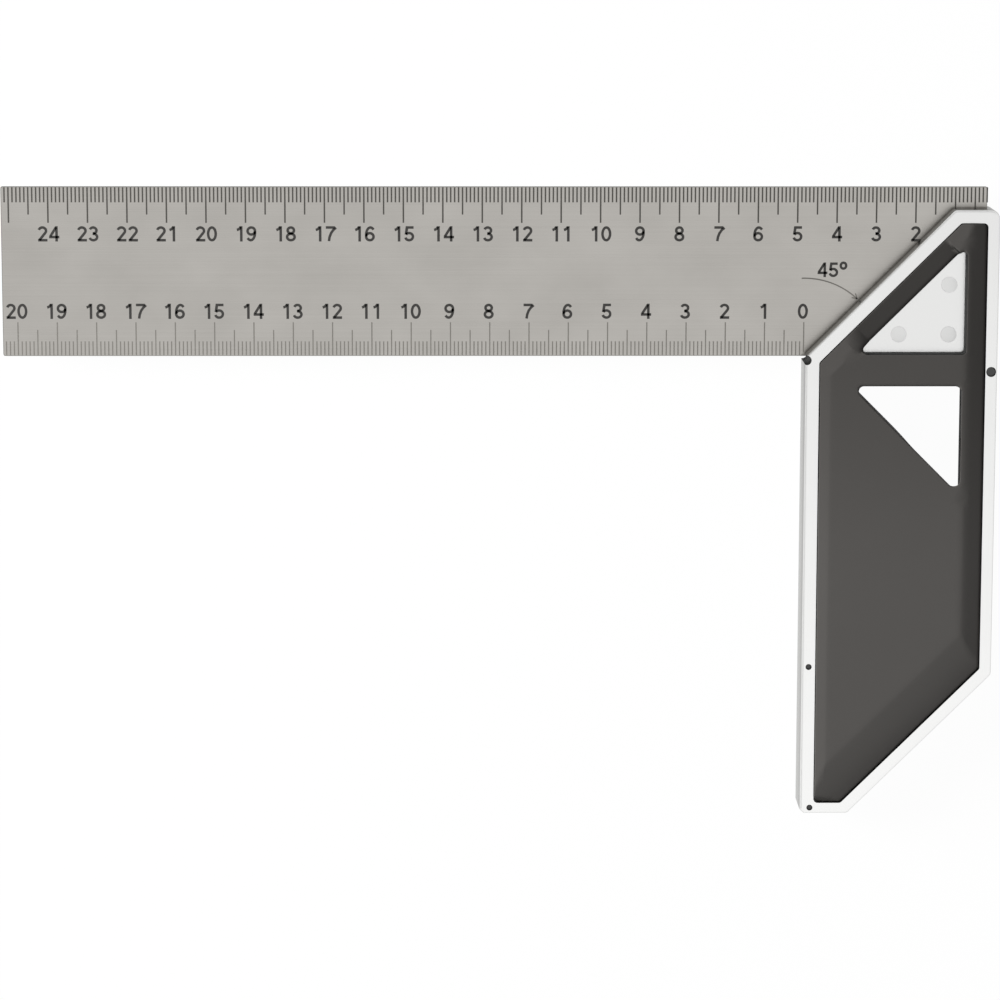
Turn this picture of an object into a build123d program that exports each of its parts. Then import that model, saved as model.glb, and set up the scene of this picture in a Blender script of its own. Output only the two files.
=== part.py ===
"""Carpenter's try and mitre square: a steel rule blade clamped in a two-part cast stock with grip plates.

The square lies flat. The origin is the inner corner, where the blade's inner edge meets the stock's
inner face, half way through the blade: +X to the stock's outer face, +Y to the blade's outer edge.
"""

import os
from math import sqrt

from build123d import *

# Blade
blade_length = 250.0
blade_width = 43.2
blade_thickness = 1.0
blade_setback = 2.65  # the hidden end stops this far inside the stock's outer face
blade_corner_radius = 0.5
blade_edge_break = 0.15
blade_fit = 0.05  # room round the blade in its pocket

# Stock outline, measured from the inner corner
stock_width = 48.8
stock_foot = 118.3  # below the blade's inner edge
mitre_rise = 0.45  # the mitre face leaves the inner face this far above the inner corner
head_width = 11.45  # top edge, between the mitre face and the outer face
foot_width = 12.3  # bottom edge, between the inner face and the 45 degree cut
foot_corner = 1.1  # chamfer at the foot of the inner face
head_corner_radius = 2.4
mitre_corner_radius = 1.5
cut_corner_radius = 1.5
relief_radius = 1.15  # hole that clears burrs at the inner corner
relief_inset = 0.35

# Cast frame: a raised rim round a web, split half way through the blade
inner_rim = 3.55  # widths of the rim along each side of the outline
mitre_rim = 3.45
head_rim = 3.3
outer_rim = 3.05
cut_rim = 3.3
foot_rim = 2.85
rim_thickness = 14.0
rim_edge_radius = 1.2
web_thickness = 5.0
pocket_radius = 1.1

# Grip plates, one on each side, let into the rim
grip_clearance = 0.1
grip_rise = 1.3  # the crown stands this far above the rim
inner_slope = 3.0  # widths of the slopes from crown to edge, along each side
mitre_slope = 4.0
head_slope = 1.2
outer_slope = 4.2
cut_slope = 12.0
foot_slope = 1.4
inner_fall = 0.7  # how far each slope falls
mitre_fall = 0.9
head_fall = 0.4
outer_fall = 2.1
cut_fall = 2.1
foot_fall = 1.2
bar_drop = 1.5  # the bar beside the upper window falls from the mitre to the window by this much

# Windows in the grip plates: the upper one shows the web, the lower one goes right through
side_bar = 4.65  # between the windows and the plate's outer edge
mitre_bar = 5.25
window_floor = 1.05  # the upper window's lower edge, above the inner corner
cross_bar = 7.95  # between the two windows
lower_window_leg = 29.25
upper_window_radius = 0.7
lower_window_radius = 1.0
collar_wall = 1.2  # lines the lower window through the web

# Rivets through web and blade
rivet_radius = 1.5
rivet_head_radius = 2.0
rivet_fit = 0.03
rivet_inset_x = 4.3  # from the upper window's square corner to the first rivet
rivet_inset_y = 4.7
rivet_room = 15.25  # the upper window's leg is this much longer than the rivets' pitch

# Pins through the rim, joining the two halves
pin_radius = 0.75
outer_pin_radius = 1.25
pin_fit = 0.02
pin_recess = 0.5
pin_end_break = 0.2
outer_pin_inset = 1.6  # from the outer face
outer_pin_drop = 3.3  # below the inner corner
inner_pin_inset = 1.85  # from the inner face
inner_pin_height = 38.65  # above the foot
foot_pin_inset = 2.55
foot_pin_height = 1.6

# Pegs that hold the grip plates in the web
peg_radius = 1.6
peg_fit = 0.05
peg_end_gap = 0.3  # the pegs stop this far short of the split
peg_inset = 5.0  # from the plate's edges
peg_drop = 15.0  # below the lower window

rim_top = rim_thickness / 2
web_top = web_thickness / 2
half_blade = blade_thickness / 2
blade_end = stock_width - blade_setback
grip_top = rim_top + grip_rise
grip_inner = inner_rim + grip_clearance
grip_outer = stock_width - outer_rim - grip_clearance
grip_foot = foot_rim + grip_clearance - stock_foot
bar_top = grip_top - mitre_fall  # at the plate's edge along the mitre
stock_head = stock_width - head_width + mitre_rise  # above the blade's inner edge
cut_line = foot_width + stock_foot  # x - y along the cut at the foot
window_right = grip_outer - side_bar
upper_window_diagonal = (mitre_rim + grip_clearance + mitre_bar) * sqrt(2) - mitre_rise  # x - y along it
upper_window_leg = window_right - window_floor - upper_window_diagonal
lower_window_top = window_floor - cross_bar

rivet_x = window_right - rivet_inset_x
rivet_y = window_floor + rivet_inset_y
rivet_pitch = upper_window_leg - rivet_room
rivet_places = [
    (rivet_x, rivet_y),
    (rivet_x - rivet_pitch, rivet_y),
    (rivet_x, rivet_y + rivet_pitch),
]
pin_places = [
    (stock_width - outer_pin_inset, -outer_pin_drop, outer_pin_radius),
    (inner_pin_inset, inner_pin_height - stock_foot, pin_radius),
    (foot_pin_inset, foot_pin_height - stock_foot, pin_radius),
]
peg_level = lower_window_top - lower_window_leg - peg_drop
peg_places = [
    (grip_inner + peg_inset, peg_level),
    (grip_outer - peg_inset, peg_level),
    (grip_inner + peg_inset, grip_foot + peg_inset),
]
# across the bar beside the upper window: origin at the window's edge, x towards the mitre
bar_plane = Plane(
    origin=(window_right - upper_window_leg, window_floor, bar_top),
    x_dir=(-1, 1, 0),
    z_dir=(1, 1, 0),
)


def stock_corners(inner=0.0, mitre=0.0, head=0.0, outer=0.0, cut=0.0, foot=0.0):
    """Corners of the stock's outline, from the foot of the inner face round, each side moved inwards."""
    mitre_diagonal = mitre * sqrt(2) - mitre_rise
    cut_diagonal = cut_line - cut * sqrt(2)
    right = stock_width - outer
    top = stock_head - head
    bottom = foot - stock_foot
    return [
        (inner, bottom),
        (inner, inner - mitre_diagonal),
        (top + mitre_diagonal, top),
        (right, top),
        (right, right - cut_diagonal),
        (bottom + cut_diagonal, bottom),
    ]


def recess_corners(clearance=0.0):
    """Corners of the recess inside the rim, or of a plate that fits in it."""
    rims = [inner_rim, mitre_rim, head_rim, outer_rim, cut_rim, foot_rim]
    return stock_corners(*[rim + clearance for rim in rims])


def window_corners(corner_y, leg, up, grow=0.0):
    """Corners of a right-angled window whose upright side is at window_right, grown outwards."""
    x = window_right + grow
    y = corner_y - up * grow
    grown_leg = leg + grow * (2 + sqrt(2))
    return [(x, y), (x, y + up * grown_leg), (x - grown_leg, y)]


def rounded_profile(corners, radius):
    """Face with the given corners, rounded by one radius or by a list of them."""
    with BuildSketch() as profile:
        with BuildLine():
            FilletPolyline(*corners, radius=radius, close=True)
        make_face()
    return profile.sketch


def lower_window(grow=0.0):
    """Face of the lower window, or of an opening larger than it by grow all round."""
    corners = window_corners(lower_window_top, lower_window_leg, -1, grow)
    return rounded_profile(corners, lower_window_radius + grow)


def slope_plane(start, end, width, fall):
    """Plane that falls from the crown to the plate's edge, which runs from start to end, over width."""
    along = (Vector(*end) - Vector(*start)).normalized()
    outward = Vector(-along.Y, along.X)
    return Plane(origin=(*start, grip_top - fall), z_dir=outward * fall + Vector(0, 0, width))


def save(builder, name):
    builder.part.label = name
    export_step(builder.part, f"parts/{name}.step")


os.makedirs("parts", exist_ok=True)

with BuildPart() as blade:
    with BuildSketch(Plane.XY.offset(-half_blade)) as blade_outline:
        with Locations((blade_end - blade_length / 2, blade_width / 2)):
            Rectangle(blade_length, blade_width)
        fillet(blade_outline.vertices(), blade_corner_radius)
        with Locations(*rivet_places):
            Circle(rivet_radius + rivet_fit, mode=Mode.SUBTRACT)
    extrude(amount=blade_thickness)
    chamfer(blade.edges().filter_by(Axis.X), blade_edge_break)
save(blade, "blade")

with BuildPart() as front_frame:
    with BuildSketch() as stock_outline:
        corner_radii = [0, 0, mitre_corner_radius, head_corner_radius, cut_corner_radius, cut_corner_radius]
        add(rounded_profile(stock_corners(), corner_radii))
        chamfer(stock_outline.vertices().group_by(Axis.Y)[0].sort_by(Axis.X)[0], foot_corner)
    extrude(amount=rim_top)
    fillet(front_frame.faces().sort_by(Axis.Z)[-1].edges(), rim_edge_radius)
    # recess for the grip plate
    with BuildSketch(Plane.XY.offset(web_top)):
        add(rounded_profile(recess_corners(), pocket_radius))
    extrude(amount=rim_top, mode=Mode.SUBTRACT)
    # opening through the web, for the lower window and its collar
    with BuildSketch():
        add(lower_window(collar_wall + grip_clearance))
    extrude(amount=web_top, mode=Mode.SUBTRACT)
    # half of the blade's pocket, open along the mitre and at the head
    with BuildSketch():
        with Locations((blade_end + blade_fit, -blade_fit)):
            Rectangle(blade_length, blade_width + 2 * blade_fit, align=(Align.MAX, Align.MIN))
    extrude(amount=half_blade, mode=Mode.SUBTRACT)
    with Locations((relief_inset, -relief_inset, rim_top)):
        Hole(relief_radius)
    with Locations(*[(x, y, web_top) for x, y in rivet_places]):
        CounterSinkHole(rivet_radius + rivet_fit, rivet_head_radius + rivet_fit, counter_sink_angle=90)
    for x, y, radius in pin_places:
        with Locations((x, y, rim_top)):
            Hole(radius + pin_fit)
    with Locations(*[(x, y, web_top) for x, y in peg_places]):
        Hole(peg_radius + peg_fit)
save(front_frame, "front_frame")

with BuildPart() as rear_frame:
    mirror(front_frame.part, about=Plane.XY)
save(rear_frame, "rear_frame")

with BuildPart() as front_grip:
    with BuildSketch(Plane.XY.offset(web_top)):
        add(rounded_profile(recess_corners(grip_clearance), pocket_radius - grip_clearance))
    extrude(amount=grip_top - web_top)
    # slopes from the crown down to the edges, one along each side of the outline
    corners = recess_corners(grip_clearance)
    widths = [inner_slope, mitre_slope, head_slope, outer_slope, cut_slope, foot_slope]
    falls = [inner_fall, mitre_fall, head_fall, outer_fall, cut_fall, foot_fall]
    for start, end, width, fall in zip(corners, corners[1:] + corners[:1], widths, falls):
        split(bisect_by=slope_plane(start, end, width, fall), keep=Keep.BOTTOM)
    with BuildSketch(Plane.XY.offset(web_top)):
        add(rounded_profile(window_corners(window_floor, upper_window_leg, 1), upper_window_radius))
        add(lower_window())
    extrude(amount=grip_top, mode=Mode.SUBTRACT)
    # the bar between the mitre and the upper window falls towards the window
    with BuildSketch(bar_plane):
        with BuildLine():
            Polyline((0, -bar_drop), (mitre_bar, 0), (mitre_bar, mitre_fall), (0, mitre_fall), close=True)
        make_face()
    extrude(amount=upper_window_leg * sqrt(2), mode=Mode.SUBTRACT)
    # collar that lines the lower window as far as the middle of the web
    with BuildSketch():
        add(lower_window(collar_wall))
    extrude(amount=web_top)
    with BuildSketch():
        add(lower_window())
    extrude(amount=web_top, mode=Mode.SUBTRACT)
    with BuildSketch(Plane.XY.offset(peg_end_gap)):
        with Locations(*peg_places):
            Circle(peg_radius)
    extrude(amount=web_top - peg_end_gap)
save(front_grip, "front_grip")

with BuildPart() as rear_grip:
    mirror(front_grip.part, about=Plane.XY)
save(rear_grip, "rear_grip")

for number, (x, y) in enumerate(rivet_places, start=1):
    with BuildPart() as rivet:
        with BuildSketch(Plane(origin=(x, y, 0), x_dir=(1, 0, 0), z_dir=(0, -1, 0))):
            with BuildLine():
                head_start = web_top - (rivet_head_radius - rivet_radius)
                Polyline(
                    (0, -web_top),
                    (rivet_head_radius, -web_top),
                    (rivet_radius, -head_start),
                    (rivet_radius, head_start),
                    (rivet_head_radius, web_top),
                    (0, web_top),
                    close=True,
                )
            make_face()
        revolve(axis=Axis((x, y, 0), (0, 0, 1)))
    save(rivet, f"blade_rivet_{number}")

for number, (x, y, radius) in enumerate(pin_places, start=1):
    pin_length = rim_thickness - 2 * pin_recess
    with BuildPart() as pin:
        with BuildSketch(Plane.XY.offset(-pin_length / 2)):
            with Locations((x, y)):
                Circle(radius)
        extrude(amount=pin_length)
        chamfer(pin.edges().filter_by(GeomType.CIRCLE), pin_end_break)
    save(pin, f"frame_pin_{number}")
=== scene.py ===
import math

import bmesh
import bpy
from mathutils import Matrix, Vector
from mathutils.geometry import delaunay_2d_cdt


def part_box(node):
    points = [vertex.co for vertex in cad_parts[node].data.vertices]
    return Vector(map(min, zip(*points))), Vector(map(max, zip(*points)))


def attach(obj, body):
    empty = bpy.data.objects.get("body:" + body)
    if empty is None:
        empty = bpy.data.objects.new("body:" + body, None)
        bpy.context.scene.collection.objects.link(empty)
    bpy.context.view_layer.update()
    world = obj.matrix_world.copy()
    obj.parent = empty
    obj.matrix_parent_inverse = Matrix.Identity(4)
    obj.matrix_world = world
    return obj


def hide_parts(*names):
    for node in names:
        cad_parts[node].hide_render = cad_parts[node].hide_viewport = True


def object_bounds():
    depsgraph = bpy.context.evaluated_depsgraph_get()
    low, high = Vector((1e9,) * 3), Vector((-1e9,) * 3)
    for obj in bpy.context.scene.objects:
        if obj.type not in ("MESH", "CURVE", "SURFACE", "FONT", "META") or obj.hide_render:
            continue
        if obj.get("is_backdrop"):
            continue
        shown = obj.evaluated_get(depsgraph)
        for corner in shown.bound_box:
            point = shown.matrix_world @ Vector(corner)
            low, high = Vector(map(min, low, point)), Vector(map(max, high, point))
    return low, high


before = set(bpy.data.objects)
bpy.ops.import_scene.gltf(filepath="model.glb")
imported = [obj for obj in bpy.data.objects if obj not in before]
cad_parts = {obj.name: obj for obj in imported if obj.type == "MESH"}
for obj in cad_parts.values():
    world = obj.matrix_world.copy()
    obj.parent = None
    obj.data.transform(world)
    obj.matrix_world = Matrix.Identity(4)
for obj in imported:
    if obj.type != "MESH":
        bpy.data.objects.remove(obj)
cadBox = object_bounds()
mm = 0.001
diagonal = math.sqrt(2)
mitreRise = 0.45 * mm  # the mitre face leaves the stock's inner face this far above the inner corner

bladeLow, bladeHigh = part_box("blade")
gripLow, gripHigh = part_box("front_grip")
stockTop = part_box("front_frame")[1].y
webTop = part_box("blade_rivet_1")[1].z  # the rivets lie flush with the web
print("frame loaded:", ", ".join(sorted(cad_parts)))


# one output of a finish's node tree, so that shader sums read as Python
class Wire:
    def __init__(self, finish, socket):
        self.finish = finish
        self.socket = socket

    def maths(self, operation, first, second):
        return self.finish.node("ShaderNodeMath", {"operation": operation}, {0: first, 1: second})

    def __add__(self, other):
        return self.maths("ADD", self, other)

    def __radd__(self, other):
        return self.maths("ADD", other, self)

    def __sub__(self, other):
        return self.maths("SUBTRACT", self, other)

    def __rsub__(self, other):
        return self.maths("SUBTRACT", other, self)

    def __mul__(self, other):
        return self.maths("MULTIPLY", self, other)

    def __rmul__(self, other):
        return self.maths("MULTIPLY", other, self)

    def __abs__(self):
        return self.maths("ABSOLUTE", self, 0.0)

    def larger(self, other):
        return self.maths("MAXIMUM", self, other)


# a material or a world, built node by node
class Finish:
    def __init__(self, name, owner=None):
        self.material = owner or bpy.data.materials.new(name)
        self.material.use_nodes = True
        self.tree = self.material.node_tree
        self.tree.nodes.clear()

    # settings come first, because some of them change which sockets there are
    def node(self, kind, settings=None, sockets=None, out=0):
        made = self.tree.nodes.new(kind)
        for key, value in (settings or {}).items():
            if key == "stops":
                ramp = made.color_ramp.elements
                while len(ramp) < len(value):
                    ramp.new(0.5)
                for stop, (place, grey) in zip(ramp, value):
                    stop.position = place
                    stop.color = (grey, grey, grey, 1)
            else:
                setattr(made, key, value)
        for key, value in (sockets or {}).items():
            if isinstance(value, Wire):
                self.tree.links.new(value.socket, made.inputs[key])
            else:
                made.inputs[key].default_value = value
        return Wire(self, made.outputs[out]) if made.outputs else None

    # noise in the part's own frame, with a count of grains per metre along each axis
    def noise(self, grains, detail, roughness):
        place = self.node("ShaderNodeTexCoord", out="Object")
        scaled = self.node("ShaderNodeMapping", None, {"Vector": place, "Scale": grains})
        sockets = {"Vector": scaled, "Scale": 1.0, "Detail": detail, "Roughness": roughness}
        return self.node("ShaderNodeTexNoise", None, sockets)

    def ramp(self, value, *stops):
        return self.node("ShaderNodeValToRGB", {"stops": stops}, {"Fac": value})

    # 0 at start, 1 at end, smooth between and level beyond; start may be the larger
    def fade(self, value, start, end):
        sockets = {"Value": value, "From Min": start, "From Max": end}
        return self.node("ShaderNodeMapRange", {"interpolation_type": "SMOOTHSTEP"}, sockets)

    # the three parts of a vector
    def parts(self, vector):
        split = self.node("ShaderNodeSeparateXYZ", None, {0: vector}).socket.node
        return [Wire(self, output) for output in split.outputs]

    # the place on the part, and the way that the surface faces there
    def place(self):
        return self.parts(self.node("ShaderNodeTexCoord", out="Object"))

    def facing(self):
        return self.parts(self.node("ShaderNodeNewGeometry", out="True Normal"))

    # a colour mix has its factor, its colours and its result at these sockets
    def mix(self, factor, first, second):
        return self.node("ShaderNodeMix", {"data_type": "RGBA"}, {0: factor, 6: first, 7: second}, 2)

    def bump(self, height, distance, strength, normal=None):
        sockets = {"Height": height, "Distance": distance, "Strength": strength}
        if normal is not None:
            sockets["Normal"] = normal
        return self.node("ShaderNodeBump", None, sockets)

    def surface(self, **sockets):
        named = {key.replace("_", " "): value for key, value in sockets.items()}
        shader = self.node("ShaderNodeBsdfPrincipled", None, named)
        self.node("ShaderNodeOutputMaterial", None, {"Surface": shader})
        return self.material


def shade(red, green, blue):
    # a colour read from a screen, 0 to 255, as the linear colour that shaders take
    levels = [value / 255 for value in (red, green, blue)]
    return (*[v / 12.92 if v <= 0.04045 else ((v + 0.055) / 1.055) ** 2.4 for v in levels], 1)


def between(share, low, high):
    return low + share * (high - low)


# in the looks, a noise has its grains per metre along each axis, its detail and its roughness, a bump has
# its depth and strength, and a turn says how level a face is where a look starts and where it is full
steelLook = {
    "light": shade(185, 182, 177),
    "dark": shade(175, 172, 167),
    "streaks": ((9, 9000, 9000), 3.0, 0.6),  # long along the blade, fine across it
    "clouds": ((45, 60, 60), 3.0, 0.55),
    "streakShare": 0.45,  # clouds give the rest of the tone
    "toneRange": (0.36, 0.64),
    # painted shade on the blade's edges that face sideways
    "edge": shade(100, 98, 94),
    "edgeShadeTurn": (0.9, 0.6),
    # painted shade on the blade beside the stock, with a ragged edge
    "contactShade": shade(92, 88, 82),
    "contactShadeWidth": 0.5 * mm,  # where the blade comes out of the stock
    "contactShadeEdge": ((900, 900, 900), 3.0, 0.6),
    "contactShadeStrength": 0.6,
    "roughness": (0.24, 0.34),
    "bump": (0.004 * mm, 0.6),
}


def bladeSteel():
    look = steelLook
    finish = Finish("bladeSteel")
    streaks = finish.noise(*look["streaks"])
    clouds = finish.noise(*look["clouds"])
    share = look["streakShare"]
    low, high = look["toneRange"]
    tone = finish.ramp(streaks * share + clouds * (1 - share), (low, 0.0), (high, 1.0))
    face = finish.mix(tone, look["dark"], look["light"])
    # painted shade: the sheared edges, which face sideways, are darker than the faces
    level = abs(finish.facing()[2])
    shadedEdges = finish.mix(finish.fade(level, *look["edgeShadeTurn"]), face, look["edge"])
    # painted shade along the mitre face and the head, where the blade meets the stock
    x, y = finish.place()[:2]
    away = ((y - x - mitreRise) * (1 / diagonal)).larger(y - stockTop)
    ragged = away + (finish.noise(*look["contactShadeEdge"]) - 0.5) * look["contactShadeWidth"]
    contactShade = finish.fade(ragged, look["contactShadeWidth"], 0.0) * look["contactShadeStrength"]
    return finish.surface(
        Base_Color=finish.mix(contactShade, shadedEdges, look["contactShade"]),
        Metallic=1.0,
        Roughness=between(streaks, *look["roughness"]),
        Normal=finish.bump(streaks, *look["bump"]),
    )


castLook = {
    "head": shade(232, 232, 231),
    "foot": shade(249, 249, 248),
    "levels": (40 * mm, -105 * mm),  # of the head's and the foot's tone
    "cloudShare": 0.3,
    "grazing": shade(212, 212, 211),  # its sides shine less at a low angle
    # the sides, painted darker than the faces as painted shade: at the head, at the foot and near the back
    "wall": shade(178, 178, 177),
    "wallFoot": shade(206, 206, 205),
    "wallBack": shade(230, 230, 229),
    "wallLevels": (4.5 * mm, -6.5 * mm),
    "wallTurn": (0.6, 0.2),
    "web": shade(232, 232, 231),  # inside the rim
    "webLevels": (4.0 * mm, 3.0 * mm),
    "webLean": (-0.06, 0.065, 0.0),
    "webPolish": 0.1,  # taken off the roughness
    "jointShade": shade(98, 94, 89),  # painted shade, low on the faces that the blade comes out of
    "jointLevels": (5.5 * mm, 1.1 * mm),
    "jointFacing": (0.5, 0.7),  # how far those faces look across the blade
    "jointEdge": ((900, 900, 900), 3.0, 0.6),
    "jointWander": 2.75 * mm,
    # painted shadow inside the relief hole
    "reliefShadow": shade(14, 14, 14),
    "reliefPlace": Vector((0.35, -0.35)) * mm,
    "reliefRadius": 1.22 * mm,
    "reliefEdge": (1.05, 0.95),  # in squares of that radius
    "reliefRoughness": 0.5,  # added
    "grain": ((5200, 5200, 5200), 2.0, 0.6),
    "clouds": ((70, 70, 70), 3.0, 0.55),
    "edgeRadius": 0.1 * mm,
    "edgeSamples": 6,
    "roughness": (0.24, 0.36),
    "bump": (0.006 * mm, 0.5),
}


def castAluminium():
    look = castLook
    finish = Finish("castAluminium")
    grain = finish.noise(*look["grain"])
    clouds = finish.noise(*look["clouds"])
    ahead, up = finish.facing()[1:]
    x, y, z = finish.place()
    # painted light: lighter towards the foot
    start, end = look["levels"]
    low = finish.node("ShaderNodeMapRange", None, {"Value": y, "From Min": start, "From Max": end})
    facesLitAndClouded = finish.mix(low + (clouds - 0.5) * look["cloudShare"], look["head"], look["foot"])
    inside = finish.fade(abs(z), *look["webLevels"])
    webbed = finish.mix(inside, facesLitAndClouded, look["web"])
    # painted shade on the walls, lighter towards the foot and towards the back
    wall = finish.fade(abs(up), *look["wallTurn"])
    side = finish.mix(low, look["wall"], look["wallFoot"])
    side = finish.mix(finish.fade(z, *look["wallLevels"]), side, look["wallBack"])
    shadedSides = finish.mix(wall, webbed, side)
    # painted shade low on the walls that face across the blade, with a ragged top
    ragged = abs(z) + (finish.noise(*look["jointEdge"]) - 0.5) * look["jointWander"]
    jointShade = wall * finish.fade(ahead, *look["jointFacing"]) * finish.fade(ragged, *look["jointLevels"])
    jointShaded = finish.mix(jointShade, shadedSides, look["jointShade"])
    # the relief hole at the inner corner, with painted shadow: near black and not metal inside it
    reliefX = x - look["reliefPlace"].x
    reliefY = y - look["reliefPlace"].y
    away = (reliefX * reliefX + reliefY * reliefY) * (1 / look["reliefRadius"] ** 2)
    reliefShadow = finish.fade(away, *look["reliefEdge"])
    # edges are a little round, and the web leans a little
    samples = {"samples": look["edgeSamples"]}
    rounded = finish.node("ShaderNodeBevel", samples, {"Radius": look["edgeRadius"]})
    sockets = {0: look["webLean"], "Scale": inside}
    lean = finish.node("ShaderNodeVectorMath", {"operation": "SCALE"}, sockets)
    normal = finish.node("ShaderNodeVectorMath", {"operation": "ADD"}, {0: rounded, 1: lean})
    roughness = between(grain, *look["roughness"]) - inside * look["webPolish"]
    return finish.surface(
        Base_Color=finish.mix(reliefShadow, jointShaded, look["reliefShadow"]),
        Specular_Tint=look["grazing"],
        Metallic=1 - reliefShadow,
        Roughness=roughness + reliefShadow * look["reliefRoughness"],
        Normal=finish.bump(grain, *look["bump"], normal),
    )


plasticLook = {
    "head": shade(76, 74, 72),
    "foot": shade(90, 88, 86),  # painted light: lighter below the windows
    "levels": (10 * mm, -60 * mm),
    "grainShare": 0.2,
    # painted shade on the plate's steep walls
    "wall": shade(35, 35, 34),
    "wallTurn": (0.5, 0.2),
    "corner": shade(84, 84, 82),  # painted light low in the lower window, where walls meet
    "cornerLevels": (-27 * mm, -34 * mm),
    "grain": ((4300, 4300, 4300), 2.0, 0.55),
    "clouds": ((60, 60, 60), 3.0, 0.5),
    "roughness": (0.46, 0.62),
    "shine": 0.02,
    "bump": (0.02 * mm, 0.6),
}


def gripPlastic():
    look = plasticLook
    finish = Finish("gripPlastic")
    grain = finish.noise(*look["grain"])
    clouds = finish.noise(*look["clouds"])
    y = finish.place()[1]
    share = look["grainShare"]
    # painted light: lighter towards the foot, mixed with grain
    toned = finish.fade(y, *look["levels"]) * (1 - share) + (grain + clouds - 0.5) * share
    face = finish.mix(toned, look["head"], look["foot"])
    # painted shade on the steep walls, with painted light low in the lower window
    wall = finish.fade(abs(finish.facing()[2]), *look["wallTurn"])
    wallShade = finish.mix(finish.fade(y, *look["cornerLevels"]), look["wall"], look["corner"])
    return finish.surface(
        Base_Color=finish.mix(wall, face, wallShade),
        Roughness=between(grain, *look["roughness"]),
        Specular_IOR_Level=look["shine"],
        Normal=finish.bump(grain, *look["bump"]),
    )


rivetLook = {
    "dark": shade(219, 219, 218),
    "light": shade(231, 231, 230),
    "grain": ((3000, 3000, 3000), 3.0, 0.6),
    "roughness": (0.26, 0.46),
    "bump": (0.01 * mm, 0.5),
}


def rivetMetal():
    look = rivetLook
    finish = Finish("rivetMetal")
    grain = finish.noise(*look["grain"])
    return finish.surface(
        Base_Color=finish.mix(grain, look["dark"], look["light"]),
        Metallic=1.0,
        Roughness=between(grain, *look["roughness"]),
        Normal=finish.bump(grain, *look["bump"]),
    )


pinLook = {
    "dark": shade(66, 66, 66),
    "light": shade(96, 96, 96),
    "grain": ((4000, 4000, 4000), 3.0, 0.6),
    "roughness": (0.45, 0.65),
}


def pinSteel():
    look = pinLook
    finish = Finish("pinSteel")
    grain = finish.noise(*look["grain"])
    return finish.surface(
        Base_Color=finish.mix(grain, look["dark"], look["light"]),
        Metallic=1.0,
        Roughness=between(grain, *look["roughness"]),
    )


inkLook = {
    # dark and light grains of the numbers, and of the lower and upper scale's lines
    "numbers": (shade(50, 49, 48), shade(70, 69, 67)),
    "lower": (shade(112, 110, 105), shade(134, 131, 126)),
    "upper": (shade(64, 62, 59), shade(86, 84, 80)),
    "levels": (12 * mm, 30 * mm),
    "grain": ((6000, 6000, 6000), 2.0, 0.6),
    "roughness": (0.55, 0.7),
    "shine": 0.2,
}


def markInk(name, lower, upper):
    look = inkLook
    finish = Finish(name)
    grain = finish.noise(*look["grain"])
    high = finish.fade(finish.place()[1], *look["levels"])
    return finish.surface(
        Base_Color=finish.mix(high, finish.mix(grain, *look[lower]), finish.mix(grain, *look[upper])),
        Roughness=between(grain, *look["roughness"]),
        Specular_IOR_Level=look["shine"],
    )


# a node takes the first finish here that its name holds
finishes = {
    "pin": pinSteel(),
    "rivet": rivetMetal(),
    "grip": gripPlastic(),
    "frame": castAluminium(),
    "blade": bladeSteel(),
    "ink": markInk("markInk", "numbers", "numbers"),
    "etching": markInk("etching", "lower", "upper"),
}

for nodeName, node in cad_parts.items():
    word = next(word for word in finishes if word in nodeName.split("_"))
    node.data.materials.clear()
    node.data.materials.append(finishes[word])
print("finishes made:", ", ".join(finishes))


def addPiece(name, mesh, material):
    piece = bpy.data.objects.new(name, mesh)
    bpy.context.scene.collection.objects.link(piece)
    mesh.materials.append(material)
    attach(piece, "root")
    return piece


def finishMesh(name, mesh, material, back):
    # what is made for the front is turned over for the back
    if back:
        bmesh.ops.scale(mesh, vec=(1, 1, -1), verts=mesh.verts)
    bmesh.ops.recalc_face_normals(mesh, faces=mesh.faces)
    made = bpy.data.meshes.new(name)
    mesh.to_mesh(made)
    mesh.free()
    return addPiece(name, made, material)


marks = {
    "raised": 0.012 * mm,  # the ink stands this far above the steel
    "reach": {10: 9.2 * mm, 5: 7.1 * mm, 1: 4.0 * mm},
    "lineWidth": {10: 0.4 * mm, 5: 0.38 * mm, 1: 0.38 * mm},
    "lowerShare": 0.94,  # the lower scale's lines are shorter, and thinner
    "lowerWeight": 0.8,
    "edgeGap": 0.2 * mm,
    "endGap": 0.5 * mm,
    "outerZero": 48.1 * mm,  # where the upper scale's zero is, from the inner corner
    "firstNumber": 2,  # the stock hides the upper scale's numbers before this one
    "digitHeight": 3.9 * mm,
    "digitWidth": 0.66,  # the next four are in parts of a digit's height
    "digitStep": 0.75,
    "digitStretch": 1.03,
    "digitWeight": 0.17,
    "lowerMiddle": 11.45 * mm,  # from the blade's lower or upper edge to the middle of a number
    "upperMiddle": 12.0 * mm,
    "digitShift": -0.28 * mm,  # the lower numbers stand this far beside their lines
    "bendStep": 15,  # degrees between the points of a curved stroke
    "bendLeast": 4,
    "mitreLimit": 0.5,  # keeps the outside of a sharp corner short
    "touching": 1e-7,  # ends of a stroke nearer than this are one point
    "angleText": Vector((7.35 * mm, 22.05 * mm)),
    "angleHeight": 3.75 * mm,
    "arcRadius": 19.9 * mm,
    "arcWidth": 0.34 * mm,
    "arcStart": 92.0,  # degrees from the blade's length
    "arcEnd": 47.2,  # where the arc meets the mitre face
    "arcSteps": 24,
    "arrowLength": 1.5 * mm,
    "arrowSpread": 28,  # degrees on each side of the arc
}


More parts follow.
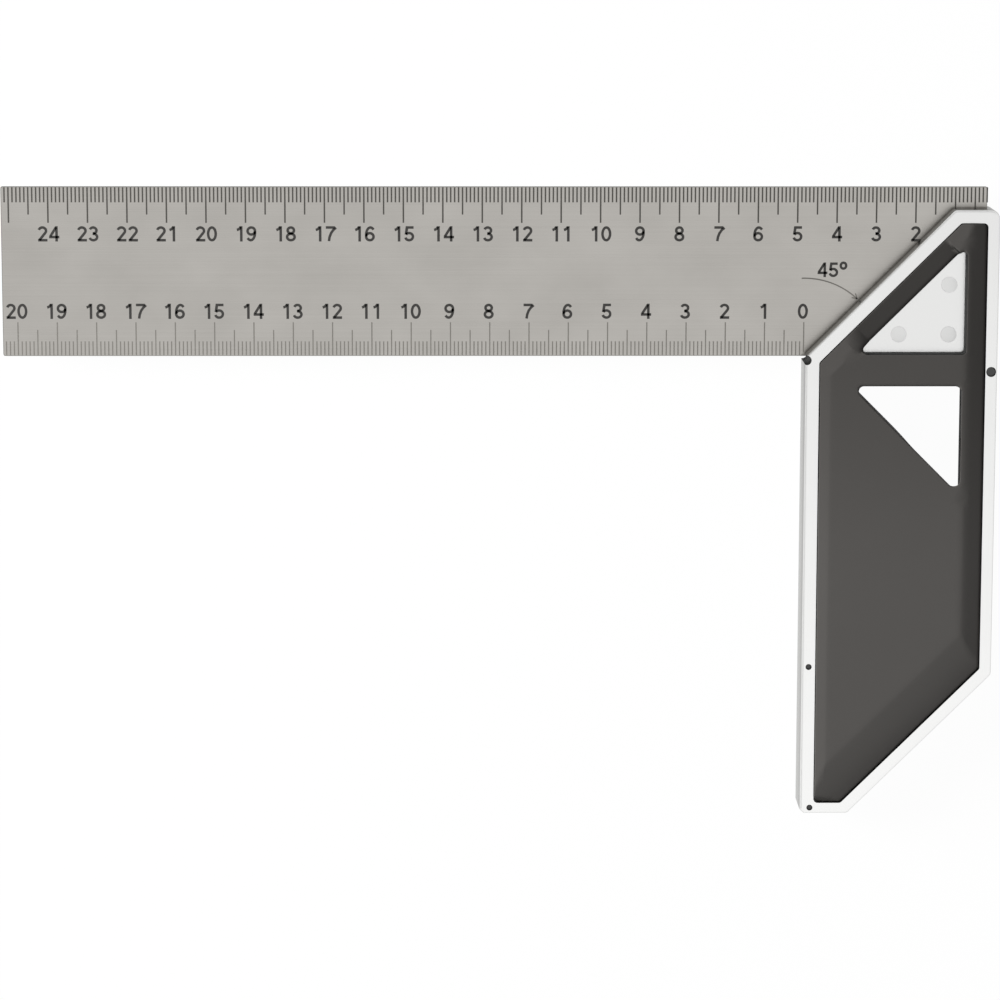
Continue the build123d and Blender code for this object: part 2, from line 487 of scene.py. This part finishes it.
def addBar(mesh, corners):
    # a thin closed plate on the blade, on four corners given in order
    bottom = [mesh.verts.new((*corner, bladeHigh.z)) for corner in corners]
    top = [mesh.verts.new((*corner, bladeHigh.z + marks["raised"])) for corner in corners]
    mesh.faces.new(bottom[::-1])
    mesh.faces.new(top)
    joinRings(mesh, bottom, top)


def joinRings(mesh, first, second):
    for i in range(len(first)):
        j = (i + 1) % len(first)
        mesh.faces.new((first[i], first[j], second[j], second[i]))


def tickKind(count):
    return next(step for step in (10, 5, 1) if count % step == 0)


def stockCover(x):
    # how high the stock covers the blade at this x
    return min(x + mitreRise, stockTop) if x > -mitreRise else 0.0


def addTick(mesh, x, edge, inward, count):
    kind = tickKind(count)
    lower = inward > 0
    reach = marks["reach"][kind] * (marks["lowerShare"] if lower else 1.0)
    half = marks["lineWidth"][kind] * (marks["lowerWeight"] if lower else 1.0) / 2
    start, end = sorted((edge + inward * marks["edgeGap"], edge + inward * reach))
    start = max(start, stockCover(x + marks["lineWidth"][kind]))
    addBar(mesh, [(x - half, start), (x + half, start), (x + half, end), (x - half, end)])


def bend(x, y, wide, tall, start, end):
    # points along part of an ellipse, from one angle to another
    steps = max(marks["bendLeast"], round(abs(end - start) / marks["bendStep"]))
    angles = [math.radians(start + (end - start) * i / steps) for i in range(steps + 1)]
    return [(x + wide * math.cos(angle), y + tall * math.sin(angle)) for angle in angles]


def halfTurn(strokes, middle):
    return [[(2 * middle - x, 1 - y) for x, y in stroke] for stroke in strokes]


# plain numerals as strokes, in parts of their height
foot = marks["digitWeight"] / 2
crown = 1 - foot
six = [bend(0.325, 0.315, 0.235, 0.315 - foot, 0, 360), bend(0.365, 0.43, 0.275, crown - 0.43, 192, 45)]
numerals = {
    "0": [bend(0.32, 0.5, 0.24, 0.5 - foot, 0, 360)],
    "1": [[(0.41, 0), (0.41, 1)], bend(0.08, 1.03, 0.3, 0.28, -80, -14)],
    "2": [bend(0.32, 0.7, 0.23, crown - 0.7, 165, -34) + [(0.12, foot)], [(0.04, foot), (0.63, foot)]],
    "3": [bend(0.3, 0.72, 0.21, crown - 0.72, 160, -100), bend(0.31, 0.295, 0.24, 0.295 - foot, 100, -165)],
    "4": [[(0.48, 0), (0.48, 1)], [(0.45, 0.93), (0.09, 0.34)], [(0.01, 0.29), (0.66, 0.29)]],
    "5": [[(0.6, crown), (0.18, crown), (0.11, 0.45)], bend(0.315, 0.32, 0.24, 0.32 - foot, 146, -165)],
    "6": six,
    "7": [[(0.04, crown), (0.61, crown)], bend(1.0, -0.05, 0.77, 1.04, 114, 176)],
    "8": [bend(0.32, 0.725, 0.2, crown - 0.725, 0, 360), bend(0.32, 0.295, 0.24, 0.295 - foot, 0, 360)],
    "9": halfTurn(six, 0.32),
    "\u00b0": [bend(0.25, 0.78, 0.18, 0.2, 0, 360)],
}


def addStroke(mesh, points, width):
    # a flat band along points; it closes on itself where they end where they began
    closed = (points[0] - points[-1]).length < marks["touching"]
    last = len(points) - 1
    sides = []
    for i, point in enumerate(points):
        before = points[i - 1] if i else points[-2 if closed else 0]
        after = points[i + 1] if i < last else points[1 if closed else -1]
        along = (after - before).normalized()
        # a corner is cut on the line that halves it
        first = (point - before).normalized() if point != before else along
        across = Vector((-along.y, along.x)) * (width / 2 / max(marks["mitreLimit"], along.dot(first)))
        sides.append((point - across, point + across))
    for (right, left), (nextRight, nextLeft) in zip(sides, sides[1:]):
        addBar(mesh, [right, nextRight, nextLeft, left])


def addText(mesh, words, middle, height, back):
    # on the back the words run the other way, so that they read right from there
    step = marks["digitStep"]
    width = step * (len(words) - 1) + marks["digitWidth"]
    way = -1 if back else 1
    for i, letter in enumerate(words):
        for stroke in numerals[letter]:
            placed = [(x * marks["digitStretch"] + i * step - width / 2, y - 0.5) for x, y in stroke]
            points = [Vector(middle) + Vector((x * way, y)) * height for x, y in placed]
            addStroke(mesh, points, marks["digitWeight"] * height)


def ray(angle):
    return Vector((math.cos(angle), math.sin(angle)))


def addArc(mesh):
    # the angle's arc about the inner corner, from square across the blade to the mitre face
    steps = marks["arcSteps"]
    radius = marks["arcRadius"]
    half = marks["arcWidth"] / 2
    start = math.radians(marks["arcStart"])
    end = math.radians(marks["arcEnd"])
    rays = [ray(start + (end - start) * i / steps) for i in range(steps + 1)]
    inner, outer = radius - half, radius + half
    for first, second in zip(rays, rays[1:]):
        addBar(mesh, [first * inner, second * inner, second * outer, first * outer])
    tip = ray(end) * radius
    for turn in (-marks["arrowSpread"], marks["arrowSpread"]):
        barb = ray(end + math.pi / 2)
        barb.rotate(Matrix.Rotation(math.radians(turn), 2))
        across = Vector((-barb.y, barb.x)) * half
        far = tip + barb * marks["arrowLength"]
        addBar(mesh, [tip - across, far - across, far + across, tip + across])


def scaleEnds():
    # the first and last millimetre of the upper scale, and the last of the lower one
    zero = marks["outerZero"]
    first = math.ceil((zero - bladeHigh.x) / mm)
    outer = math.floor((zero - bladeLow.x - marks["endGap"]) / mm)
    return first, outer, math.floor(-bladeLow.x / mm)


def drawLines(mesh):
    first, outer, inner = scaleEnds()
    for count in range(inner + 1):
        addTick(mesh, -count * mm, bladeLow.y, 1, count)
    for count in range(first, outer + 1):
        addTick(mesh, marks["outerZero"] - count * mm, bladeHigh.y, -1, count)
    addArc(mesh)


def drawNumbers(mesh, back):
    # numbers stand on the centimetres
    outer, inner = scaleEnds()[1:]
    height = marks["digitHeight"]
    for number in range(inner // 10 + 1):
        middle = (marks["digitShift"] - number * 10 * mm, bladeLow.y + marks["lowerMiddle"])
        addText(mesh, str(number), middle, height, back)
    for number in range(marks["firstNumber"], outer // 10):
        middle = (marks["outerZero"] - number * 10 * mm, bladeHigh.y - marks["upperMiddle"])
        addText(mesh, str(number), middle, height, back)
    addText(mesh, "45\u00b0", marks["angleText"], marks["angleHeight"], back)


def bladeMarks(side):
    back = side == "rear"
    lines = bmesh.new()
    drawLines(lines)
    finishMesh(f"{side}_scales", lines, finishes["etching"], back)
    numbers = bmesh.new()
    drawNumbers(numbers, back)
    finishMesh(f"{side}_numbers", numbers, finishes["ink"], back)


bladeMarks("front")
bladeMarks("rear")
print("scales drawn")


plate = {
    # outward direction: width of the slope, its fall from the crown, its curve, radius of the edge,
    # softness of the crease, and the seam that is left beside it
    "sides": {
        (-1, 0): (2.6 * mm, 0.45 * mm, 0.0, 0.1 * mm, 0.1 * mm, 0.1 * mm),
        (-1, 1): (4.0 * mm, 0.9 * mm, 0.0, 0.1 * mm, 0.05 * mm, 0.1 * mm),
        (0, 1): (1.2 * mm, 0.4 * mm, 0.0, 0.3 * mm, 0.05 * mm, 0.0),
        (1, 0): (5.0 * mm, 1.82 * mm, 0.0, 0.6 * mm, 0.4 * mm, 0.0),
        (1, -1): (10.2 * mm, 2.2 * mm, 0.3, 0.5 * mm, 0.12 * mm, 0.0),
        (0, -1): (2.6 * mm, 2.6 * mm, 0.0, 0.2 * mm, 0.3 * mm, 0.0),
    },
    "cornerRadius": 1.0 * mm,
    "spacing": 1.0 * mm,  # between loose points
    "clear": 0.25 * mm,  # between loose points and round edges
    "loopSpacing": 0.4 * mm,
    "arcSteps": 10,  # round each corner of a line
    "rings": 5,  # round each edge
    "support": 1.6,  # one more ring, in parts of the radius, keeps the shading of an edge beside it
    "blendReach": 0.2 * mm,  # how softly, and how steeply, one edge's radius gives way to the next
    "blendPower": 4,
    "creaseRow": 0.25 * mm,  # rows of points up to this far on each side of a crease keep it crisp
    "creaseRows": (-1, -0.4, 0, 0.4, 1),
    "sharp": 35,  # degrees between faces, over which an edge is shaded sharp
    # each window's inset from the plate's outer edge, level of its square corner, leg and way up,
    # rounding of its square, upright and level corners, and radii of its upright, level and sloping edges
    "windows": {
        "upper": {
            "inset": 5.0 * mm,
            "level": 1.25 * mm,
            "leg": 27.405 * mm,
            "up": 1,
            "rounding": (1.0 * mm, 1.0 * mm, 1.0 * mm),
            "radii": (0.1 * mm, 0.1 * mm, 0.9 * mm),
        },
        # the lower window goes right through, and its two ends differ
        "front": {
            "inset": 6.0 * mm,
            "level": -6.9 * mm,
            "leg": 27.9 * mm,
            "up": -1,
            "rounding": (1.6 * mm, 1.6 * mm, 1.3 * mm),
            "radii": (0.15 * mm, 0.8 * mm, 0.3 * mm),
        },
        "rear": {
            "inset": 4.55 * mm,
            "level": -6.4 * mm,
            "leg": 30.55 * mm,
            "up": -1,
            "rounding": (1.3 * mm, 0.8 * mm, 1.3 * mm),
            "radii": (0.15 * mm, 0.8 * mm, 0.3 * mm),
        },
    },
    # the lower window's throat, half way through the stock
    "throat": {
        "draft": {"front": 0.1 * mm, "rear": 0.6 * mm},  # it lies this far inside the window's edge
        "lean": {"front": 0.95 * mm, "rear": 0.0},  # but further out by this at its upright side
        "leanReach": 2.2 * mm,  # over this distance from that side
        "undercut": 1.1 * mm,  # and by this in the bottom corner, between two levels
        "undercutLevels": (-18.0 * mm, -33.0 * mm),
        "wall": 1.2 * mm,  # of the collar that lines it
    },
    # the bar between the mitre and the upper window
    "bar": {
        "width": 5.25 * mm,
        "drop": 1.5 * mm,  # from the mitre to the window
        # its lower and upper ends: how far from the window's corner each starts, and its length
        "ends": ((0.0, 4.5 * mm), (2.5 * mm, 0.5 * mm)),
        "endRow": 0.2,  # crease rows there lie no further out than this part of that length
        "turn": 45,  # degrees round a corner of the window, over which the bar's fall dies away
    },
}
windows = plate["windows"]
throat = plate["throat"]
bar = plate["bar"]


class Side:
    # one straight side of the plate, with its slope; its place is the CAD plate's own
    def __init__(self, direction, width, fall, curve, radius, blend, seam):
        self.out = Vector(direction).normalized()
        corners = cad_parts["front_grip"].data.vertices
        self.reach = max(self.out.dot(corner.co.xy) for corner in corners) - seam
        self.width = width
        self.fall = fall
        self.curve = curve
        self.radius = radius
        self.blend = blend

    def depth(self, point):
        return self.reach - self.out.dot(point)

    def height(self, point):
        share = 1 - self.depth(point) / self.width
        return gripHigh.z - self.fall * share * (1 - self.curve + self.curve * max(share, 0.0) ** 2)


plateSides = [Side(direction, *slope) for direction, slope in plate["sides"].items()]
sidePairs = list(zip(plateSides, plateSides[1:] + plateSides[:1]))
mitreSide = plateSides[1]


def cornerOf(first, second, firstInset, secondInset):
    # where two sides meet, each moved inwards
    turn = first.out.cross(second.out)
    reach = first.reach - firstInset
    other = second.reach - secondInset
    x = reach * second.out.y - other * first.out.y
    y = other * first.out.x - reach * second.out.x
    return Vector((x, y)) / turn


def plateCorners(inset):
    return [cornerOf(first, second, inset, inset) for first, second in sidePairs]


def plateOutline(inset):
    return roundedLoop(plateCorners(inset), [plate["cornerRadius"]] * len(plateSides))


def outlineRadius(point):
    return blendRadius([(side.depth(point), side.radius) for side in plateSides])


def blendRadius(sides):
    # each side has its own radius, given with its distance, and they blend round the corners
    shares = [(abs(distance) + plate["blendReach"]) ** -plate["blendPower"] for distance, radius in sides]
    return sum(share * radius for share, (distance, radius) in zip(shares, sides)) / sum(shares)


class Window:
    # a right-angled window, its upright side beside the plate's outer edge
    def __init__(self, inset, level, leg, up, rounding, radii):
        self.place = Vector((gripHigh.x - inset, level))
        self.leg = leg
        self.up = up
        self.rounding = rounding
        self.radii = radii
        self.widest = max(radii)

    def corners(self, grow):
        x = self.place.x + grow
        y = self.place.y - self.up * grow
        grown = self.leg + grow * (2 + diagonal)
        return [Vector((x, y)), Vector((x, y + self.up * grown)), Vector((x - grown, y))]

    def line(self, grow):
        return roundedLoop(self.corners(grow), [radius + grow for radius in self.rounding])

    def radius(self, point):
        left = self.place.x - point.x
        rise = (point.y - self.place.y) * self.up
        return blendRadius(list(zip((left, rise, (self.leg - left - rise) / diagonal), self.radii)))


upperWindow = Window(**windows["upper"])
barStart = upperWindow.place - Vector((upperWindow.leg, 0))
barAlong = Vector((1, 1)).normalized()
barAcross = Vector((-1, 1)).normalized()


def roundedLoop(corners, radii):
    # a closed line with rounded corners, and with points along its straight stretches
    points = []
    steps = plate["arcSteps"]
    for i, (corner, radius) in enumerate(zip(corners, radii)):
        before = (corners[i - 1] - corner).normalized()
        after = (corners[(i + 1) % len(corners)] - corner).normalized()
        half = before.angle(after) / 2
        reach = radius / math.tan(half)
        centre = corner + (before + after).normalized() * (radius / math.sin(half))
        start = corner + before * reach - centre
        sweep = start.angle_signed(corner + after * reach - centre)
        for step in range(steps + 1):
            arm = start.copy()
            arm.rotate(Matrix.Rotation(-sweep * step / steps, 2))
            points.append(centre + arm)
    loop = []
    for point, following in zip(points, points[1:] + points[:1]):
        pieces = max(1, round((following - point).length / plate["loopSpacing"]))
        loop += [point.lerp(following, i / pieces) for i in range(pieces)]
    return loop


def softMin(first, second, blend):
    over = max(blend - abs(first - second), 0.0)
    return min(first, second) - over * over / (4 * blend)


def smooth(value):
    value = min(max(value, 0.0), 1.0)
    return value * value * (3 - 2 * value)


def barShare(along, across):
    # 1 on the bar, 0 beyond its ends and on the window's other sides
    distances = (along, upperWindow.leg * diagonal - along)
    share = 1.0
    for distance, (start, length) in zip(distances, bar["ends"]):
        share = min(share, max((distance - start) / length, 0.0))
        if across < 0:
            share *= smooth(1 + math.atan2(across, distance) / math.radians(bar["turn"]))
    return share


def plateHeight(point):
    height = gripHigh.z
    for side in plateSides:
        height = softMin(height, side.height(point), side.blend)
    # the bar beside the upper window falls towards the window
    along = (point - barStart).dot(barAlong)
    across = (point - barStart).dot(barAcross)
    drop = bar["drop"] * (1 - max(across, 0.0) / bar["width"])
    lowered = min(height, gripHigh.z - mitreSide.fall - drop)
    return height + (lowered - height) * barShare(along, across)


def rowPoints(start, end, reach):
    # points along a line, and in rows on each side of it
    along = end - start
    count = max(1, round(along.length / plate["loopSpacing"]))
    across = Vector((-along.y, along.x)).normalized() * reach
    middles = [start.lerp(end, i / count) for i in range(count + 1)]
    return [middle + across * shift for middle in middles for shift in plate["creaseRows"]]


def creasePoints():
    # along the bar's two ends, the crown's edge and the creases that run from it to the corners
    points = []
    upperEnd, lowerEnd = upperWindow.corners(0.0)[1:]
    for corner, way, (start, length) in zip((lowerEnd, upperEnd), (1, -1), bar["ends"]):
        reach = min(plate["creaseRow"], length * bar["endRow"])
        for shift in (start, start + length):
            inner = corner + barAlong * (way * shift)
            points += rowPoints(inner, inner + barAcross * bar["width"], reach)
    tops = [cornerOf(first, second, first.width, second.width) for first, second in sidePairs]
    for i, (first, second) in enumerate(sidePairs):
        points += rowPoints(tops[i - 1], tops[i], plate["creaseRow"])
        low = min(first.fall, second.fall)
        insets = [side.width * (1 - low / side.fall) for side in (first, second)]
        points += rowPoints(tops[i], cornerOf(first, second, *insets), plate["creaseRow"])
    return points


def insideLoop(point, loop):
    inside = False
    for start, end in zip(loop, loop[1:] + loop[:1]):
        if (start.y > point.y) != (end.y > point.y):
            if point.x < start.x + (point.y - start.y) * (end.x - start.x) / (end.y - start.y):
                inside = not inside
    return inside


def loosePoints(openings):
    # points that fill the face and its creases, clear of the round edges
    inner = plateCorners(max(side.radius for side in plateSides) * plate["support"] + plate["clear"])
    around = [window.corners(window.widest * plate["support"] + plate["clear"]) for window in openings]
    places = creasePoints()
    rows = int((gripHigh.y - gripLow.y) / plate["spacing"])
    columns = int((gripHigh.x - gripLow.x) / plate["spacing"])
    for row in range(rows):
        for column in range(columns):
            shift = 0.5 * (row % 2)  # every other row is half a step along
            places.append(gripLow.xy + Vector((column + shift, row)) * plate["spacing"])
    loose = []
    for point in places:
        if insideLoop(point, inner) and not any(insideLoop(point, corners) for corners in around):
            loose.append(point)
    return loose


def ringInsets(radius):
    # how far in the rings of a round edge lie
    turns = [math.pi / 2 * i / plate["rings"] for i in range(plate["rings"] + 1)]
    return [radius * (1 - math.cos(turn)) for turn in turns] + [radius * plate["support"]]


def edgeDrop(radius, inset):
    # how far a round edge lies below the surface that it ends
    short = max(radius - inset, 0.0)
    return radius - math.sqrt(radius * radius - short * short)


def edgeRings(openings):
    # lines round the plate's edge and its windows, each ring further in than the one before it,
    # how far each of their points lies below the face, and the number of each edge's first line
    edges = [(plateOutline, outlineRadius, max(side.radius for side in plateSides))]
    edges += [(window.line, window.radius, window.widest) for window in openings]
    loops = []
    drops = []
    firsts = []
    for line, radius, widest in edges:
        firsts.append(len(loops))
        for inset in ringInsets(widest):
            loops.append(line(inset))
            drops += [edgeDrop(radius(point), inset) for point in loops[-1]]
    return loops, drops, firsts


def fillPlate(loops, loose, holes):
    # triangles between closed lines, through loose points, leaving open the lines numbered in holes
    points = [point for loop in loops for point in loop]
    edges = []
    owners = []
    for number, loop in enumerate(loops):
        first = len(owners)
        count = len(loop)
        edges += [(first + i, first + (i + 1) % count) for i in range(count)]
        owners += [number] * count
    owners += [None] * len(loose)
    insideOnly, closeness = 1, 1e-9  # what to fill, and how near points may be
    filled = delaunay_2d_cdt(points + loose, edges, [], insideOnly, closeness)
    triangles, sources = filled[2], filled[3]
    kept = []
    for triangle in triangles:
        corners = [sources[i][0] for i in triangle]
        # a hole is convex, so only its own triangles have every corner on its line
        around = {owners[corner] for corner in corners}
        if len(around) > 1 or not around & holes:
            kept.append(corners)
    return kept


def undercut(point):
    high, low = throat["undercutLevels"]
    return throat["undercut"] * smooth((high - point.y) / (high - low))


def moved(loop, distance):
    # a window's line moved outwards, by a distance for each point
    line = []
    for i, point in enumerate(loop):
        along = (loop[(i + 1) % len(loop)] - loop[i - 1]).normalized()
        line.append(point + Vector((-along.y, along.x)) * distance(point))
    return line


def addWall(mesh, line, upper, level):
    # a wall from a ring of points to a line at another level
    lower = [mesh.verts.new((*point, level)) for point in line]
    joinRings(mesh, upper, lower)
    return lower


def gripPlate(name, node, side):
    lowerWindow = Window(**windows[side])
    openings = (upperWindow, lowerWindow)
    loops, drops, firsts = edgeRings(openings)
    loose = loosePoints(openings)
    flat = [point for loop in loops for point in loop] + loose
    drops += [0.0] * len(loose)
    mesh = bmesh.new()
    verts = [mesh.verts.new((*point, plateHeight(point) - drop)) for point, drop in zip(flat, drops)]
    for triangle in fillPlate(loops, loose, set(firsts[1:])):
        mesh.faces.new([verts[i] for i in triangle])

    def spread(point):
        # how far the throat lies outside the window's line, without its undercut
        lean = smooth(1 - (lowerWindow.place.x - point.x) / throat["leanReach"])
        return throat["lean"][side] * lean - throat["draft"][side]

    outline, upperLine, lowerLine = [loops[i] for i in firsts]
    starts = [sum(len(loop) for loop in loops[:i]) for i in firsts]
    rings = [verts[start : start + len(loops[i])] for start, i in zip(starts, firsts)]
    throatLine = moved(lowerLine, lambda point: undercut(point) + spread(point))
    collarReach = throat["wall"] + throat["draft"]["front"]
    collarLine = moved(lowerLine, lambda point: collarReach + spread(point))
    outer = addWall(mesh, outline, rings[0], webTop)
    upper = addWall(mesh, upperLine, rings[1], webTop)
    inner = addWall(mesh, throatLine, rings[2], 0.0)
    collar = addWall(mesh, collarLine, inner, 0.0)
    lower = addWall(mesh, collarLine, collar, webTop)
    under = outer + upper + lower
    for triangle in fillPlate([outline, upperLine, collarLine], [], {1, 2}):
        mesh.faces.new([under[i] for i in reversed(triangle)])
    for face in mesh.faces:
        face.smooth = True
    for edge in mesh.edges:
        edge.smooth = edge.calc_face_angle(0.0) < math.radians(plate["sharp"])
    piece = finishMesh(name, mesh, finishes["grip"], side == "rear")
    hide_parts(node)


gripPlate("front_plate", "front_grip", "front")
gripPlate("rear_plate", "rear_grip", "rear")
print("grip plates shaped")


view = {
    "place": Vector((-85.52, 131.16, 1017.17)) * mm,
    "right": Vector((1.0, 0.0008, 0.0079)),
    "up": Vector((0.0005, 0.9866, -0.1634)),
    "lens": 144.68,
    "sensor": 36.0,
    "nearest": 0.05,
}


def addCamera():
    lens = bpy.data.cameras.new("camera")
    lens.lens = view["lens"]
    lens.sensor_width = view["sensor"]
    lens.clip_start = view["nearest"]
    camera = bpy.data.objects.new("camera", lens)
    bpy.context.scene.collection.objects.link(camera)
    right = view["right"].normalized()
    back = right.cross(view["up"]).normalized()
    up = back.cross(right)
    turn = Matrix((right, up, back)).transposed().to_4x4()
    camera.matrix_world = Matrix.Translation(view["place"]) @ turn
    bpy.context.scene.camera = camera


studio = {
    "floorSize": 6.0,
    "floorColour": (0.96, 0.96, 0.96, 1),
    "white": (1, 1, 1, 1),
    "shadowDepth": 0.03,  # how much of the floor's shade the camera sees; the rest is white
    "worldLight": 0.29,
    # the room behind the lamp, as metal shows it: its light, how high it reaches and on which side
    "room": 0.5,
    "roomHeight": (0.6, 0.0),
    "roomSide": (-0.4, 0.6),
    "keyPlace": Vector((-1.25, 0.3, 0.65)),
    "keySize": 0.7,
    "keyPower": 33.0,
}


def whiteRays(finish):
    # 1 for rays that see the background: from the camera, off metal, or through glass
    names = ("Is Camera Ray", "Is Glossy Ray", "Is Transmission Ray")
    camera, glossy, through = [finish.node("ShaderNodeLightPath", out=name) for name in names]
    return finish.node("ShaderNodeClamp", None, {"Value": camera + glossy + through})


def addFloor():
    half = studio["floorSize"] / 2
    level = cadBox[0][2]
    mesh = bpy.data.meshes.new("floor")
    corners = [(-half, -half, level), (half, -half, level), (half, half, level), (-half, half, level)]
    mesh.from_pydata(corners, [], [(0, 1, 2, 3)])
    floor = bpy.data.objects.new("floor", mesh)
    bpy.context.scene.collection.objects.link(floor)
    finish = Finish("floor")
    matte = finish.node("ShaderNodeBsdfDiffuse", None, {"Color": studio["floorColour"]})
    white = finish.node("ShaderNodeEmission", None, {"Color": studio["white"], "Strength": 1.0})
    share = whiteRays(finish) * (1 - studio["shadowDepth"])
    both = finish.node("ShaderNodeMixShader", None, {0: share, 1: matte, 2: white})
    finish.node("ShaderNodeOutputMaterial", None, {"Surface": both})
    mesh.materials.append(finish.material)
    floor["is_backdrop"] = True


def addLamp():
    lamp = bpy.data.lights.new("key", "AREA")
    lamp.shape = "DISK"
    lamp.size = studio["keySize"]
    lamp.energy = studio["keyPower"]
    key = bpy.data.objects.new("key", lamp)
    bpy.context.scene.collection.objects.link(key)
    key.location = studio["keyPlace"]
    key.rotation_euler = studio["keyPlace"].to_track_quat("Z", "Y").to_euler()
    key.visible_glossy = False


def addWorld():
    world = bpy.data.worlds.new("studio")
    bpy.context.scene.world = world
    sky = Finish("studio", world)
    # metal sees a darker room on the lamp's side, near the floor, which draws its round edges
    right, ahead, up = sky.parts(sky.node("ShaderNodeTexCoord", out="Generated"))
    shown = sky.node("ShaderNodeLightPath", out="Is Glossy Ray")
    dark = sky.fade(up, *studio["roomHeight"]) * sky.fade(ahead - right, *studio["roomSide"])
    dim = shown * dark * (1 - studio["room"])
    level = studio["worldLight"] + whiteRays(sky) * (1 - studio["worldLight"]) - dim
    background = sky.node("ShaderNodeBackground", None, {"Color": studio["white"], "Strength": level})
    sky.node("ShaderNodeOutputWorld", None, {"Surface": background})


addCamera()
addFloor()
addLamp()
addWorld()
bpy.context.scene.view_settings.view_transform = "Standard"
print("studio set")

boxes = {"cad": cadBox, "visual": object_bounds()}
{key: [list(corner) for corner in box] for key, box in boxes.items()}
